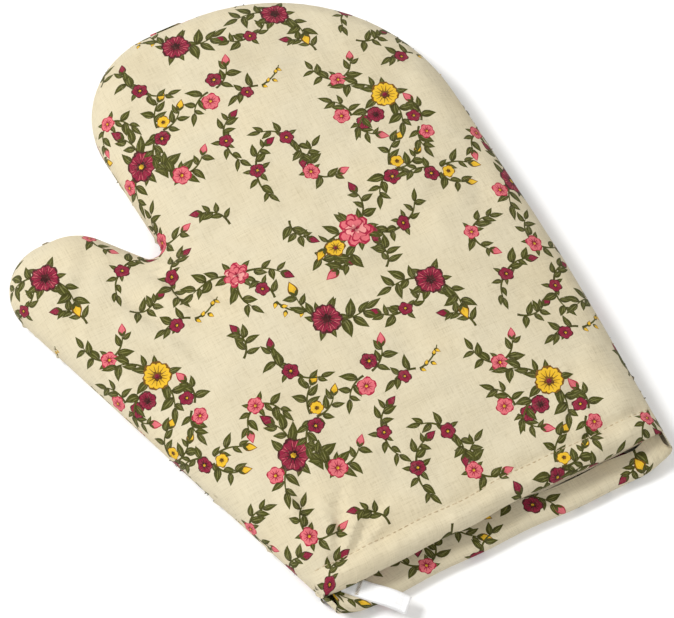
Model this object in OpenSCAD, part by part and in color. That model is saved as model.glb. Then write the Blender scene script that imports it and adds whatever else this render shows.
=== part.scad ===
// Padded oven mitt lying flat: two quilted panels sewn round the edge, open at the cuff.
// The origin is on the resting face, at the middle of the cuff mouth. +Y runs to the
// fingertips, +Z rises out of the front panel and the thumb is on the -X side.

/* [Outline] */
// Length from the back edge of the cuff to the fingertips
mitt_length = 300; // [250:1:360]
// Width of the cuff at its mouth
cuff_width = 168; // [140:1:202]
// Distance from the middle line to the straight side at the palm
palm_side = 85.5; // [75:0.5:103]
// Height along the mitt at which the straight side is widest
palm_side_y = 105; // [80:1:130]
// Distance from the middle line to the corner above the little finger
tip_right = 75.5; // [70:0.5:92]
// Distance from the middle line to the corner above the index finger
tip_left = 88.5; // [86:0.5:100]
// Radius of the broad curve over the little finger
tip_right_round = 98; // [80:1:104]
// Radius of the tighter curve over the index finger
tip_left_round = 46; // [30:1:56]
// Distance from the middle line to the crotch of the thumb
crotch_x = 78; // [72:0.5:82]
// Height along the mitt of the crotch of the thumb
crotch_y = 181; // [160:1:190]
// Radius inside the crotch of the thumb
crotch_round = 4; // [3:0.5:6]

/* [Thumb] */
// Height along the mitt of the top of the thumb
thumb_top_y = 221; // [212:1:240]
// Distance from the middle line to the shoulder on the inner side of the thumb
thumb_inner_x = 111; // [104:1:116]
// Distance from the middle line to the outer corner that the thumb tip is rounded from
thumb_outer_x = 163.5; // [158:0.5:190]
// Radius of the thumb tip
thumb_round = 23.5; // [20:0.5:26]
// Radius of the shoulder on the inner side of the thumb
thumb_shoulder_round = 25; // [15:1:28]

/* [Thickness] */
// Height of the seam above the resting face
seam_height = 10; // [9:0.5:14]
// Rise of the front panel above the seam
front_rise = 16; // [13:0.5:22]
// Width of the rounded border along the seam
edge_round = 18; // [15:0.5:20]
// Thickness of the printed cotton
shell_thickness = 0.6; // [0.5:0.05:0.9]
// Thickness of the wadding
wadding_thickness = 4.5; // [3:0.1:5.5]
// Thickness of the plain lining
lining_thickness = 0.5; // [0.4:0.05:0.8]

/* [Cuff] */
// Depth of the turned-in hem
hem_depth = 12; // [8:0.5:18]
// Distance that the puffed front edge sits back from the back edge
front_setback = 10; // [6:0.5:14]
// Width of a row of hem stitches
stitch_width = 0.8; // [0.6:0.1:1.2]
// Diameter of the sewing thread
thread_size = 0.5; // [0.4:0.05:0.6]

/* [Hanging loop] */
// Width of the tape
tape_width = 8; // [6:0.5:10]
// Thickness of the tape
tape_thickness = 0.8; // [0.6:0.05:1]
// Length of the free loop, from its fold line to its end
loop_reach = 18.5; // [12:0.5:40]
// Length of the tape between its bar tack and its fold line
loop_tail = 11; // [9:0.5:13]
// Gap between the sewn end of the tape and the left wall of the hollow
loop_side_gap = 2; // [1.5:0.5:10]
// Gap between the loop's fold line and the front edge of the cuff
loop_front_gap = 2.2; // [1.5:0.1:4]
// Angle of the loop from the line across the cuff
loop_angle = -46; // [-60:1:-30]

/* [Folds] */
// Height along the mitt of the fold across the fingers
finger_fold_y = 197; // [194:1:210]
// Height along the mitt of the fold that lets the front of the cuff lift
mouth_fold_y = 95; // [60:1:100]
// Height along the mitt at which the thumb's fold meets the outer edge
thumb_fold_y = 108; // [104:1:130]
// Gap between pieces that fold against each other
fold_gap = 0.3; // [0.2:0.05:0.5]
// Gap between neighbouring layers of one panel
ply_gap = 0.05; // [0.02:0.01:0.1]

/* [Hidden] */

cotton_cream = [0.9, 0.86, 0.74];
wadding_white = [0.96, 0.96, 0.94];
lining_cream = [0.93, 0.9, 0.82];
thread_tan = [0.72, 0.52, 0.3];
tape_white = [0.98, 0.98, 0.98];

far = 400;                      // beyond every surface of the mitt
skirt = 60;                     // how far the blank runs past the mouth before it is cut
arc_step = 9;                   // largest turn between two points of an arc, in degrees
profile_steps = 5;              // rings from the seam to the flat of each panel

border = min(edge_round, thumb_round - 2);
wadding_depth = shell_thickness + ply_gap;
wadding_end = wadding_depth + wadding_thickness;
lining_depth = wadding_end + ply_gap;
hollow_depth = lining_depth + lining_thickness;

// Corners of the cut panel as [x, y, radius], anticlockwise from the right of the mouth.
left_slope = (thumb_outer_x - cuff_width / 2) / thumb_top_y;
corners = [
    [cuff_width / 2, -skirt, 0],
    [cuff_width / 2, 0, 300],
    [palm_side, palm_side_y, 900],
    [tip_right, mitt_length, tip_right_round],
    [-tip_left, mitt_length, tip_left_round],
    [-crotch_x, crotch_y, crotch_round],
    [-thumb_inner_x, thumb_top_y, thumb_shoulder_round],
    [-thumb_outer_x, thumb_top_y, thumb_round],
    [-cuff_width / 2 + left_slope * skirt, -skirt, 0]
];

function unit(v) = v / norm(v);
function left_of(v) = [-v.y, v.x];
function flat(p) = [p.x, p.y];
function cross2(a, b) = a.x * b.y - a.y * b.x;

// A rounded corner as [point, inward normal] pairs. It takes at most a share of an edge.
corner_share = 0.7;
function corner_points(i) =
    let(n = len(corners))
    let(here = corners[i])
    let(edge_in = flat(here) - flat(corners[(i + n - 1) % n]))
    let(edge_out = flat(corners[(i + 1) % n]) - flat(here))
    let(before = unit(edge_in))
    let(after = unit(edge_out))
    let(turn = atan2(cross2(before, after), before * after))
    let(most = corner_share * min(norm(edge_in), norm(edge_out)) / abs(tan(turn / 2)))
    let(radius = min(here[2], most))
    let(start = flat(here) - before * radius * abs(tan(turn / 2)))
    let(side = sign(turn))
    let(centre = start + left_of(before) * side * radius)
    let(steps = radius == 0 ? 0 : max(1, ceil(abs(turn) / arc_step)))
    steps == 0
        ? [[flat(here), unit(left_of(before) + left_of(after))]]
        : [for (k = [0:steps])
            let(angle = turn * k / steps)
            let(out = rotate2(-side * left_of(before), angle))
            [centre + out * radius, -side * out]];

function rotate2(v, a) = [v.x * cos(a) - v.y * sin(a), v.x * sin(a) + v.y * cos(a)];

outline = [for (i = [0:len(corners) - 1]) each corner_points(i)];
count = len(outline);

function inset_ring(inset) = [for (p = outline) p[0] + p[1] * inset];

// One ring of the pillow-shaped blank: level runs from -1, flat on the underside,
// through 0 at the seam to 1, flat on top.
function ring_inset(level, depth) = border - (border - depth) * cos(90 * level);
function ring_height(level, depth) =
    seam_height + sin(90 * level) * ((level < 0 ? seam_height : front_rise) - depth);

levels = [for (k = [-profile_steps:profile_steps]) k / profile_steps];

// The closed space inside the mitt at a depth below its outer surface.
module blank(depth) {
    points = [for (v = levels)
        each [for (p = inset_ring(ring_inset(v, depth))) [p.x, p.y, ring_height(v, depth)]]];
    last = (len(levels) - 1) * count;
    walls = [for (r = [0:len(levels) - 2]) for (i = [0:count - 1])
        let(a = r * count + i)
        let(b = r * count + (i + 1) % count)
        each [[a, a + count, b], [b, a + count, b + count]]];
    under = [for (i = [0:count - 1]) i];
    over = [for (i = [count - 1:-1:0]) last + i];
    polyhedron(points = points, faces = concat(walls, [under, over]), convexity = 8);
}

// A slab of the whole height over a stretch of the mitt's length.
module stretch(from, to) {
    translate([-far, from, -far]) cube([2 * far, to - from, 2 * far]);
}

// Everything on the front or on the back of the seam, less half the gap between them.
module front_half() {
    translate([-far, -far, seam_height + fold_gap / 2]) cube([2 * far, 2 * far, far]);
}

module back_half() {
    translate([-far, -far, seam_height - fold_gap / 2 - far]) cube([2 * far, 2 * far, far]);
}

// The thumb folds on a line from just inside its crotch to the outer edge.
crotch_aim = unit([-0.37, 0.93]);
crotch_cover = 5;               // from the crotch to the inner end of the thumb's fold
fold_inner = [-crotch_x, crotch_y] - crotch_aim * crotch_cover;
fold_outer = [-cuff_width / 2 - left_slope * thumb_fold_y, thumb_fold_y];
fold_line = unit(fold_outer - fold_inner);

module thumb_area(gap) {
    inner = fold_inner - left_of(fold_line) * gap / 2;
    linear_extrude(height = 2 * far, center = true)
        polygon([inner, inner + crotch_aim * far, [-2 * far, far], inner + fold_line * far]);
}

module finger_area() {
    difference() {
        stretch(finger_fold_y + fold_gap / 2, far);
        thumb_area(-fold_gap);
    }
}

module palm_area(from) {
    difference() {
        stretch(from, finger_fold_y - fold_gap / 2);
        thumb_area(-fold_gap);
    }
}

// The groove that the seam thread lies in, in the cut end of the back wadding.
seam_allowance = wadding_depth + 0.55;  // from the outer edge to the middle of the thread
seam_thread_z = seam_height - (fold_gap + thread_size) / 2;
module seam_ring(size) {
    translate([0, 0, seam_thread_z - size / 2])
        linear_extrude(height = size)
            difference() {
                polygon(inset_ring(seam_allowance - size / 2));
                polygon(inset_ring(seam_allowance + size / 2));
            }
}

groove_size = thread_size + 2 * ply_gap;

// The row of stitches that holds the hem, set into the printed cotton.
stitch_depth = shell_thickness - 0.2;
module hem_row(rim, width, top, depth) {
    middle = rim + hem_depth;
    intersection() {
        difference() {
            blank(top);
            blank(depth);
        }
        stretch(middle - width / 2, middle + width / 2);
    }
}

// Printed cotton: it covers the outside, wraps the rim and turns in as the hem.
module shell_layer(rim) {
    difference() {
        union() {
            difference() {
                blank(0);
                intersection() {
                    blank(shell_thickness);
                    stretch(rim + shell_thickness, far);
                }
            }
            intersection() {
                blank(hollow_depth - shell_thickness);
                stretch(rim, rim + hem_depth - ply_gap);
            }
        }
        blank(hollow_depth);
        stretch(-far, rim);
        hem_row(rim, stitch_width + 2 * ply_gap, -1, stitch_depth + ply_gap);
    }
}

// Wadding: it fills the panel and, inside the hem, stops under the turned-in cotton.
module wadding_layer(rim) {
    difference() {
        blank(wadding_depth);
        blank(wadding_end);
        stretch(-far, rim + wadding_depth);
        intersection() {
            blank(hollow_depth - shell_thickness - ply_gap);
            stretch(-far, rim + hem_depth);
        }
        seam_ring(groove_size);
    }
}

// Lining: plain cotton from the hem to the tips.
module lining_layer(rim) {
    difference() {
        blank(lining_depth);
        blank(hollow_depth);
        stretch(-far, rim + hem_depth);
    }
}

// One section of a layer: the layer, the side of the seam and the area it covers.
// Its cuts are resolved into one faceted solid, because no section has a bore or a pin.
module section(tint) {
    color(tint) resize([0, 0, 0]) intersection() {
        children(0);
        children(1);
        children(2);
    }
}

module front_shell_cuff() {
    section(cotton_cream) {
        shell_layer(front_setback);
        front_half();
        stretch(0, mouth_fold_y - fold_gap / 2);
    }
}

module front_shell_palm() {
    section(cotton_cream) {
        shell_layer(front_setback);
        front_half();
        palm_area(mouth_fold_y + fold_gap / 2);
    }
}

module front_shell_fingers() {
    section(cotton_cream) {
        shell_layer(front_setback);
        front_half();
        finger_area();
    }
}

module front_shell_thumb() {
    section(cotton_cream) {
        shell_layer(front_setback);
        front_half();
        thumb_area(fold_gap);
    }
}

module back_shell_palm() {
    section(cotton_cream) {
        shell_layer(0);
        back_half();
        palm_area(0);
    }
}

module back_shell_fingers() {
    section(cotton_cream) {
        shell_layer(0);
        back_half();
        finger_area();
    }
}

module back_shell_thumb() {
    section(cotton_cream) {
        shell_layer(0);
        back_half();
        thumb_area(fold_gap);
    }
}

module front_wadding_cuff() {
    section(wadding_white) {
        wadding_layer(front_setback);
        front_half();
        stretch(0, mouth_fold_y - fold_gap / 2);
    }
}

module front_wadding_palm() {
    section(wadding_white) {
        wadding_layer(front_setback);
        front_half();
        palm_area(mouth_fold_y + fold_gap / 2);
    }
}

module front_wadding_fingers() {
    section(wadding_white) {
        wadding_layer(front_setback);
        front_half();
        finger_area();
    }
}

module front_wadding_thumb() {
    section(wadding_white) {
        wadding_layer(front_setback);
        front_half();
        thumb_area(fold_gap);
    }
}

module back_wadding_palm() {
    section(wadding_white) {
        wadding_layer(0);
        back_half();
        palm_area(0);
    }
}

module back_wadding_fingers() {
    section(wadding_white) {
        wadding_layer(0);
        back_half();
        finger_area();
    }
}

module back_wadding_thumb() {
    section(wadding_white) {
        wadding_layer(0);
        back_half();
        thumb_area(fold_gap);
    }
}

module front_lining_cuff() {
    section(lining_cream) {
        lining_layer(front_setback);
        front_half();
        stretch(0, mouth_fold_y - fold_gap / 2);
    }
}

module front_lining_palm() {
    section(lining_cream) {
        lining_layer(front_setback);
        front_half();
        palm_area(mouth_fold_y + fold_gap / 2);
    }
}

module front_lining_fingers() {
    section(lining_cream) {
        lining_layer(front_setback);
        front_half();
        finger_area();
    }
}

module front_lining_thumb() {
    section(lining_cream) {
        lining_layer(front_setback);
        front_half();
        thumb_area(fold_gap);
    }
}

module back_lining_palm() {
    section(lining_cream) {
        lining_layer(0);
        back_half();
        palm_area(0);
    }
}

module back_lining_fingers() {
    section(lining_cream) {
        lining_layer(0);
        back_half();
        finger_area();
    }
}

module back_lining_thumb() {
    section(lining_cream) {
        lining_layer(0);
        back_half();
        thumb_area(fold_gap);
    }
}

// The lockstitch round the edge, from one side of the mouth to the other.
module seam_stitching_palm() {
    color(thread_tan) intersection() {
        seam_ring(thread_size);
        palm_area(wadding_depth);
    }
}

module seam_stitching_fingers() {
    color(thread_tan) intersection() {
        seam_ring(thread_size);
        finger_area();
    }
}

module seam_stitching_thumb() {
    color(thread_tan) intersection() {
        seam_ring(thread_size);
        thumb_area(fold_gap);
    }
}

module front_hem_stitching() {
    color(thread_tan) resize([0, 0, 0]) intersection() {
        hem_row(front_setback, stitch_width, 0, stitch_depth);
        front_half();
    }
}

module back_hem_stitching() {
    color(thread_tan) resize([0, 0, 0]) intersection() {
        hem_row(0, stitch_width, 0, stitch_depth);
        back_half();
    }
}

// The hanging loop is one tape folded in two. It lies in the left corner of the mouth
// and is written along +X from its fold line, then turned into place.
bend_gap = 0.3;                 // between the two plies of the folded tape
loop_height = 2 * tape_thickness + bend_gap;
loop_y = front_setback - loop_front_gap - tape_width / 2 * cos(loop_angle);
loop_corner = rotate2([-loop_tail, -tape_width / 2], loop_angle);
wall_inset = hollow_depth + loop_side_gap;
loop_x = wall_inset * norm([1, left_slope]) - cuff_width / 2 - loop_corner.x
    - left_slope * (loop_y + loop_corner.y);

// Height of the hollow's floor at a distance in from the outline of the mitt.
function floor_height(inset) = seam_height
    - (seam_height - hollow_depth) * sin(acos((border - inset) / (border - hollow_depth)));
loop_base = floor_height(wall_inset) + 0.4;

module at_loop() {
    translate([loop_x, loop_y, loop_base])
        rotate([0, 0, loop_angle])
            children();
}

module folded_tape(from, to) {
    translate([from, -tape_width / 2, 0]) cube([to - from, tape_width, tape_thickness]);
    translate([from, -tape_width / 2, tape_thickness + bend_gap])
        cube([to - from, tape_width, tape_thickness]);
}

module loop_sewn_end() {
    color(tape_white) at_loop() difference() {
        translate([-loop_tail, -tape_width / 2, 0])
            cube([loop_tail - fold_gap / 2, tape_width, loop_height]);
        translate([-loop_tail + 3, -tape_width, tape_thickness])
            cube([loop_tail, 2 * tape_width, bend_gap]);
    }
}

module hanging_loop() {
    bend = loop_height / 2;
    color(tape_white) at_loop() {
        folded_tape(fold_gap / 2, loop_reach - bend);
        translate([loop_reach - bend, tape_width / 2, bend])
            rotate([90, 0, 0])
                difference() {
                    cylinder(r = bend, h = tape_width, $fn = 32);
                    translate([0, 0, -1])
                        cylinder(r = bend_gap / 2, h = tape_width + 2, $fn = 32);
                    translate([-2 * bend, -bend, -1])
                        cube([2 * bend, 2 * bend, tape_width + 2]);
                }
    }
}

// The bar tack lies across the tape at its sewn end.
tack_width = 1.6;
module loop_bar_tack() {
    color(thread_tan) at_loop()
        translate([-loop_tail + 1, -tape_width / 2 + 1, loop_height + ply_gap])
            cube([tack_width, tape_width - 2, thread_size]);
}

front_shell_cuff();
front_shell_palm();
front_shell_fingers();
front_shell_thumb();
back_shell_palm();
back_shell_fingers();
back_shell_thumb();
front_wadding_cuff();
front_wadding_palm();
front_wadding_fingers();
front_wadding_thumb();
back_wadding_palm();
back_wadding_fingers();
back_wadding_thumb();
front_lining_cuff();
front_lining_palm();
front_lining_fingers();
front_lining_thumb();
back_lining_palm();
back_lining_fingers();
back_lining_thumb();
seam_stitching_palm();
seam_stitching_fingers();
seam_stitching_thumb();
front_hem_stitching();
back_hem_stitching();
loop_sewn_end();
hanging_loop();
loop_bar_tack();
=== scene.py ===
import math
import random

import bpy
import numpy as np
from mathutils import Matrix, Vector
from mathutils.geometry import delaunay_2d_cdt


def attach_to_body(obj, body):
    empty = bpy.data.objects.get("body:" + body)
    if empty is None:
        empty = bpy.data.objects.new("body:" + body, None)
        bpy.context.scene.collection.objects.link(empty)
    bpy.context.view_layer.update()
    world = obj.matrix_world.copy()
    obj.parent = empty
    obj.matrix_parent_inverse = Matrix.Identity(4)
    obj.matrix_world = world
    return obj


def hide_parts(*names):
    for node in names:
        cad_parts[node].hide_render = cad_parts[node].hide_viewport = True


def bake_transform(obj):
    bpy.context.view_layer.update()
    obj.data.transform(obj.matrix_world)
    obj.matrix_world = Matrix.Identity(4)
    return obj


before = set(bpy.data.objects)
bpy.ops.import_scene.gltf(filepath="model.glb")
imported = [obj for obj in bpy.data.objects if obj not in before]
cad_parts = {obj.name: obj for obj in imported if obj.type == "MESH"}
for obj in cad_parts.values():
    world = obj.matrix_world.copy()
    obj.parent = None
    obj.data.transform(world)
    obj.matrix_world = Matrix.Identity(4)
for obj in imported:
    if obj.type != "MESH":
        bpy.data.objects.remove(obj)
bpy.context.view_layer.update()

# ---------------------------------------------------------------- sizes, in millimetres

# The height of the seam between the panels, and how far the front panel crowns above it.
SEAM_Z = 10.0
TOP_RISE = 14.8
# The width of the rounded edge, and the strip of it that tucks in under the seam.
EDGE = 18.0
TUCK = 1.5
TUCK_ANGLE = math.radians(24)
# Where each panel's rim runs, and how far behind it the row of stitches is.
FRONT_RIM = 10.0
BACK_RIM = 0.0
HEM_ROW = 11.0
# The hem's groove: its depth, how much its puckers change that, and its width.
GROOVE_DEPTH, GROOVE_PUCKER, GROOVE_WIDTH = 2.7, 0.7, 2.2
# The thickest roll that the rim can have, from the turn's middle to the cloth.
ROLL_MAX = 5.6
# Heights of the broad swells, of the finer ripples and of the creases.
SWELL, RIPPLE, CREASE = 0.95, 0.42, 1.35
# The fold lines, which are the axes of the joints, and how far short of the fingers' fold the fingers' piece
# is cut off.
MOUTH_FOLD = 95.0
FINGER_FOLD = 197.0
FINGER_SPREAD = 13.0
THUMB_INNER = np.array([-76.152, 176.354])
THUMB_OUTER = np.array([-122.851, 108.0])
THUMB_DIRECTION = (THUMB_OUTER - THUMB_INNER) / np.linalg.norm(THUMB_OUTER - THUMB_INNER)
THUMB_NORMAL = np.array([THUMB_DIRECTION[1], -THUMB_DIRECTION[0]])
# From the inner end of the thumb's fold to the crotch.
CROTCH_AIM = np.array([-0.3697, 0.9292])
# How far the linings stand apart, and the size of a panel's facets.
MOUTH_GAP = 5.0
STEP = 2.5

# The corners of the mitt's outline, each with its x, its y and its rounding.
CORNERS = [
    (84, -60, 0), (84, 0, 300), (85.5, 105, 900), (75.5, 300, 98), (-88.5, 300, 46),
    (-78, 181, 5), (-111, 221, 25), (-163.5, 221, 23.5), (-62.42, -60, 0),
]


def rounded(corners, step=5.0):
    """The cut's outline as points, anticlockwise, with each corner rounded."""
    out = []
    n = len(corners)
    for i, (x, y, r) in enumerate(corners):
        p = np.array([x, y], float)
        a = p - np.array(corners[i - 1][:2], float)
        b = np.array(corners[(i + 1) % n][:2], float) - p
        a, b = a / np.linalg.norm(a), b / np.linalg.norm(b)
        if r == 0:
            out.append(p)
            continue
        turn = math.atan2(a[0] * b[1] - a[1] * b[0], a @ b)
        start = p - a * r * abs(math.tan(turn / 2))
        side = math.copysign(1, turn)
        normal = np.array([-a[1], a[0]]) * side
        centre = start + normal * r
        steps = max(2, math.ceil(abs(math.degrees(turn)) / step))
        for k in range(steps + 1):
            t = turn * k / steps
            c, s = math.cos(t), math.sin(t)
            v = -normal
            out.append(centre + r * np.array([v[0] * c - v[1] * s, v[0] * s + v[1] * c]))
    return np.array(out)


def even(points, gap):
    """A closed line with points at equal gaps."""
    closed = np.vstack([points, points[:1]])
    along = np.concatenate([[0], np.cumsum(np.linalg.norm(np.diff(closed, axis=0), axis=1))])
    count = int(along[-1] / gap)
    at = np.linspace(0, along[-1], count, endpoint=False)
    return np.stack([np.interp(at, along, closed[:, k]) for k in (0, 1)], 1)


OUTLINE = even(rounded(CORNERS), 3.0)


def nearest(p):
    """Signed distance into the outline and the inward normal, for points p (n, 2)."""
    a = OUTLINE
    b = np.roll(OUTLINE, -1, axis=0)
    d = b - a
    best = np.full(len(p), 1e9)
    where = np.zeros((len(p), 2))
    side = np.zeros(len(p))
    for i in range(len(a)):
        w = p - a[i]
        t = np.clip((w @ d[i]) / (d[i] @ d[i]), 0, 1)
        q = a[i] + t[:, None] * d[i]
        r = np.linalg.norm(p - q, axis=1)
        closer = r < best
        best[closer] = r[closer]
        where[closer] = q[closer]
        side[closer] = (d[i][0] * w[:, 1] - d[i][1] * w[:, 0])[closer]
    inside = within(OUTLINE, p)
    sign = np.where(inside, 1.0, -1.0)
    normal = (p - where) * sign[:, None]
    length = np.linalg.norm(normal, axis=1)
    normal = normal / np.maximum(length, 1e-6)[:, None]
    return best * sign, normal


# ---------------------------------------------------------------- the padded surfaces


def smooth(x):
    x = np.clip(x, 0, 1)
    return x * x * (3 - 2 * x)


def noise_field(seed, waves, shortest, longest):
    """A smooth random function of x and y, made of sine waves."""
    rng = random.Random(seed)
    parts = []
    for _ in range(waves):
        wavelength = rng.uniform(shortest, longest)
        angle = rng.uniform(0, 2 * math.pi)
        k = 2 * math.pi / wavelength
        parts.append((k * math.cos(angle), k * math.sin(angle), rng.uniform(0, 6.28)))

    def value(x, y):
        total = np.zeros_like(x)
        for kx, ky, phase in parts:
            total += np.sin(kx * x + ky * y + phase)
        return total / math.sqrt(len(parts))

    return value


swell = noise_field(3, 9, 45, 120)
ripple = noise_field(8, 14, 14, 34)
hem_ripple = noise_field(5, 10, 9, 22)


def edge_profile(d):
    """How far a point moves inward of its flat place, and its rise from 0 at the seam to 1."""
    under = np.clip(d / TUCK, 0, 1)
    angle_under = -TUCK_ANGLE * (1 - under)
    over = np.clip((d - TUCK) / (EDGE - TUCK), 0, 1)
    angle_over = np.arccos(np.clip(1 - over, -1, 1))
    angle = np.where(d < TUCK, angle_under, angle_over)
    inset = EDGE * (1 - np.cos(angle))
    flat_inset = np.where(d < TUCK, d, TUCK + (EDGE - TUCK) * (1 - np.cos(angle)))
    move = np.where(d < EDGE, inset - flat_inset, 0)
    return move, np.sin(angle)


def edge_table():
    """Length along the cloth from the seam, for each flat distance from it."""
    d = np.linspace(0, EDGE, 400)
    move, rise = edge_profile(d)
    run, climb = d + move, SEAM_Z + TOP_RISE * rise
    steps = np.hypot(np.diff(run), np.diff(climb))
    return d, np.concatenate([[0], np.cumsum(steps)])


EDGE_D, EDGE_LENGTH = edge_table()
EDGE_EXTRA = EDGE_LENGTH[-1] - EDGE


def cloth_to_flat(p):
    """From places on the uncut cloth to flat places, where the edge is foreshortened."""
    d, normal = nearest(p)
    t = d + EDGE_EXTRA
    inner = np.interp(t, EDGE_LENGTH, EDGE_D)
    inner = np.where(t < 0, t, inner)
    inner = np.where(d > EDGE, d, inner)
    fade = smooth((p[:, 1] - 4) / 14)[:, None]
    return p + normal * (inner - d)[:, None] * fade


def flat_to_cloth(p):
    d, normal = nearest(p)
    d = np.maximum(d, 0)
    outer = np.where(d > EDGE, d, np.interp(d, EDGE_D, EDGE_LENGTH) - EDGE_EXTRA)
    fade = smooth((p[:, 1] - 4) / 14)[:, None]
    return p + normal * (outer - d)[:, None] * fade


def heights(y, d):
    """Heights over a flat point: front outside, front inside, back inside, back outside."""
    _, rise = edge_profile(d)
    thinner = 1 - 0.12 * smooth((y - 215) / 85) - 0.15 * smooth((70 - y) / 50)
    top = SEAM_Z + TOP_RISE * rise * thinner
    bottom = SEAM_Z - SEAM_Z * rise
    open_by = MOUTH_GAP / 2 * smooth((d - 5) / 26) * (1 - 0.7 * smooth((y - 20) / 90))
    middle = SEAM_Z + 0.4
    return top, middle + open_by, middle - open_by, bottom


def rim_of(front, x):
    """Where the rim of a panel runs: it bows a little and pulls back at both side seams."""
    if front:
        bow = 0.9 * np.sin(x / 30 + 0.6) + 0.35 * np.sin(x / 8.5) + 0.25 * np.sin(x / 5.1 + 1)
        left_pull = 1.0 * smooth((-x - 62) / 24)
        return FRONT_RIM + bow + left_pull + 2.2 * smooth((x - 66) / 18)
    side_pull = 3.0 * smooth((np.abs(x + 2) - 68) / 18)
    return BACK_RIM + 0.5 * np.sin(x / 27 + 2.0) + 0.3 * np.sin(x / 7.3) + side_pull


def fold_crease(x, y, centre, angle, length, width, depth):
    """A short soft groove in the cloth."""
    c, s = math.cos(angle), math.sin(angle)
    u = (x - centre[0]) * c + (y - centre[1]) * s
    v = -(x - centre[0]) * s + (y - centre[1]) * c
    v = v + 0.06 * length * np.sin(u / length * 2.2)
    fade = np.exp(-((u / (length / 2)) ** 4))
    return -depth * fade * np.exp(-((v / width) ** 2)) + 0.55 * depth * fade * np.exp(
        -(((np.abs(v) - 1.9 * width) / (1.2 * width)) ** 2)
    )


CREASES = [
    ((-70, 30), math.radians(68), 40, 2.6, 1.5),
    ((-60, 26), math.radians(40), 34, 2.4, 1.3),
    ((-78, 38), math.radians(100), 36, 2.6, 1.2),
    ((-72, 62), math.radians(80), 44, 3.4, 0.9),
    ((-84, 168), math.radians(-62), 34, 3.0, 1.3),
    ((-70, 158), math.radians(-38), 40, 3.2, 1.1),
    ((-96, 152), math.radians(-58), 52, 3.6, 1.1),
    ((-66, 184), math.radians(14), 46, 3.2, 0.9),
    ((52, 40), math.radians(64), 34, 3.0, 0.8),
    ((-10, 66), math.radians(8), 60, 4.0, 0.7),
    ((30, 150), math.radians(30), 66, 4.5, 0.7),
    ((-20, 206), math.radians(-8), 90, 5.0, 0.8),
    ((10, 258), math.radians(-35), 60, 4.5, 0.6),
    ((-124, 186), math.radians(62), 46, 3.6, 0.7),
]


def lift(flat, front, displaced=None):
    """Puts flat points (x, s) of one panel where the cloth lies.

    s runs down the panel and, past the rim, round it and up inside as the hem.
    """
    x, s = flat[:, 0], flat[:, 1]
    rim = rim_of(front, x)
    probe_y = np.maximum(s, rim + 2.0)
    # Below the rim the strip keeps to the sides of the mouth.
    left, right = -84 - 0.3597 * s, 84 + 0.0143 * s
    share = np.clip((x - left) / (right - left), 0, 1)
    x = x + (1 - share) * -0.3597 * (probe_y - s) + share * 0.0143 * (probe_y - s)
    d, normal = nearest(np.stack([x, probe_y], 1))
    d = np.maximum(d, 0)
    top, inner_top, inner_bottom, bottom = heights(probe_y, d)
    outer = top if front else bottom
    inner = inner_top if front else inner_bottom
    radius = np.maximum(np.abs(outer - inner) / 2, 0.25)
    radius = np.minimum(radius, ROLL_MAX)
    side = 1.0 if front else -1.0
    centre_y = rim + radius
    move, _ = edge_profile(d)

    # The hem's row of stitches pulls the cloth into a groove, and the cloth puckers there.
    inside_edge = smooth((d - 1.0) / 9.0)
    row = rim + HEM_ROW
    off = s - row
    pucker = hem_ripple(x, s * 0.25)
    groove = (GROOVE_DEPTH + GROOVE_PUCKER * pucker) * np.exp(-np.sqrt(off**2 + 0.25) / GROOVE_WIDTH)
    puff = 1.9 * np.exp(-(((off + 6.0) / 4.2) ** 2)) + 0.9 * np.exp(-(((off - 8.0) / 6.0) ** 2))
    spread = np.exp(-(((off) / 11.0) ** 2))
    local = (-groove + puff + 0.55 * pucker * spread) * inside_edge
    if not front:
        local = -0.25 * local * smooth((s - centre_y) / 6)
    wave = SWELL * swell(x, s) + RIPPLE * ripple(x, s)
    calm = smooth((d - 1.5) / 12.0)
    creases = np.zeros_like(x)
    if front:
        for centre, angle, length, width, depth in CREASES:
            creases += CREASE * fold_crease(x, s, centre, angle, length, width, depth)
        wave = wave + creases
    else:
        wave = 0.25 * np.abs(wave) * -1
    bump = (wave * calm) * smooth((s - centre_y + 4) / 14)

    out = np.zeros((len(x), 3))
    # Flat part of the panel.
    out[:, 0] = x + normal[:, 0] * move
    out[:, 1] = s + normal[:, 1] * move * smooth((s - 8) / 20)
    out[:, 2] = outer + (local + bump)
    # The roll over the rim: the cloth turns through half a circle.
    turning = s < centre_y
    length = math.pi * radius
    phi = np.clip((centre_y - s) / length, 0, 1) * math.pi
    bulge = 1 + 0.10 * np.sin(phi)
    middle = outer - side * radius
    lift_here = (local + bump) * np.cos(phi / 2) ** 2
    rolled_y = centre_y - radius * bulge * np.sin(phi)
    rolled_z = middle + side * radius * np.cos(phi) + lift_here
    out[turning, 1] = rolled_y[turning]
    out[turning, 2] = rolled_z[turning]
    # The turned-in hem, inside the mouth.
    past = np.maximum(centre_y - s - length, 0)
    tucked = turning & (past > 0)
    out[tucked, 1] = (centre_y + past)[tucked]
    out[tucked, 2] = (inner + side * 0.25 * np.sin(x / 3.1) * inside_edge)[tucked]
    pull = 2.6 * (1 - smooth(d / 7.0)) * smooth(past / 3.0)
    out[:, 0] += normal[:, 0] * pull
    if displaced is not None:
        out = out + displaced(x, s)
    if not front:
        out[:, 2] = np.maximum(out[:, 2], 0.0)
    return out


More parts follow.
